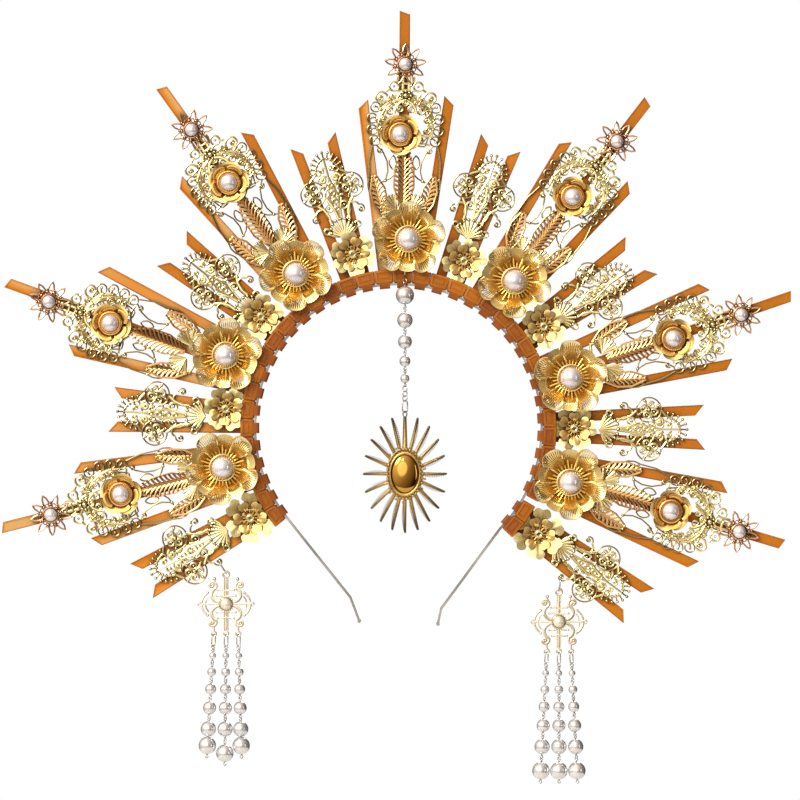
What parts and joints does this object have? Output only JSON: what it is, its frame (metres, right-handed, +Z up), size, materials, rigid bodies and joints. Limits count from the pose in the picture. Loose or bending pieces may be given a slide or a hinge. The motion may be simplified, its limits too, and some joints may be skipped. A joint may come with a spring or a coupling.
{
  "type": "halo crown",
  "caption": "Halo crown: a thin steel headband ringed with cable-tie rays under gilt filigree, flowers and pearls, with a sun pendant in the middle and a bead drop hanging at each end",
  "frame": {"origin": "middle of the top of the head seat, on the inner side of the tie loops at the top of the band's arc, halfway from front to back", "axes": "+Z up as worn, the front with the flowers faces -Y, +X to the right as seen from the front"},
  "size_m": [0.3628, 0.0151, 0.3556],
  "materials": {
    "band_steel": "dark worn steel",
    "tie_plastic": "satin orange-gold plastic",
    "gilt_filigree": "polished gilt, stamped",
    "gilt_flowers": "polished gilt",
    "copper_wire": "copper-gold wire",
    "sun_gilt": "antiqued gilt with a polished dome",
    "pale_gilt": "pale gilt",
    "silver_wire": "bright wire",
    "set_pearls": "white pearl, flat-backed",
    "drilled_pearls": "grey-white pearl, drilled"
  },
  "bodies": {
    "crown": {"headband": "band_steel", "long_ties": "tie_plastic", "flank_ties": "tie_plastic", "short_ties": "tie_plastic", "spray_1": "gilt_filigree", "spray_2": "gilt_filigree", "spray_3": "gilt_filigree", "spray_4": "gilt_filigree", "spray_5": "gilt_filigree", "spray_6": "gilt_filigree", "spray_7": "gilt_filigree", "star_1": "copper_wire", "star_2": "copper_wire", "star_3": "copper_wire", "star_4": "copper_wire", "star_5": "copper_wire", "star_6": "copper_wire", "star_7": "copper_wire", "cup_flower_1": "gilt_flowers", "cup_flower_2": "gilt_flowers", "cup_flower_3": "gilt_flowers", "cup_flower_4": "gilt_flowers", "cup_flower_5": "gilt_flowers", "cup_flower_6": "gilt_flowers", "cup_flower_7": "gilt_flowers", "big_flower_1": "gilt_flowers", "big_flower_2": "gilt_flowers", "big_flower_3": "gilt_flowers", "big_flower_4": "gilt_flowers", "big_flower_5": "gilt_flowers", "big_flower_6": "gilt_flowers", "big_flower_7": "gilt_flowers", "leaf_1": "gilt_filigree", "leaf_2": "gilt_filigree", "leaf_3": "gilt_filigree", "leaf_4": "gilt_filigree", "leaf_5": "gilt_filigree", "leaf_6": "gilt_filigree", "leaf_7": "gilt_filigree", "leaf_8": "gilt_filigree", "small_flower_1": "gilt_flowers", "small_flower_2": "gilt_flowers", "small_flower_3": "gilt_flowers", "small_flower_4": "gilt_flowers", "small_flower_5": "gilt_flowers", "small_flower_6": "gilt_flowers", "small_flower_7": "gilt_flowers", "small_flower_8": "gilt_flowers", "star_pearls": "set_pearls", "cup_pearls": "set_pearls", "flower_pearls": "set_pearls", "chain_pearls": "drilled_pearls", "chain_links": "silver_wire"},
    "sun": {"sun": "sun_gilt"},
    "left_drop": {"left_plate": "pale_gilt", "left_drop_pearls": "drilled_pearls", "left_drop_links": "silver_wire"},
    "right_drop": {"right_plate": "pale_gilt", "right_drop_pearls": "drilled_pearls", "right_drop_links": "silver_wire"}
  },
  "joints": [
    {"name": "sun_swing", "type": "hinge", "parent": "crown", "child": "sun", "pos_m": [0.003, -0.0069, -0.05723], "axis": [0, 1, 0], "range_deg": [-30, 30]},
    {"name": "left_drop_swing", "type": "hinge", "parent": "crown", "child": "left_drop", "pos_m": [-0.08142, -0.00112, -0.12763], "axis": [1, 0, 0], "range_deg": [-45, 45]},
    {"name": "right_drop_swing", "type": "hinge", "parent": "crown", "child": "right_drop", "pos_m": [0.07447, -0.00112, -0.135], "axis": [1, 0, 0], "range_deg": [-45, 45]}
  ]
}
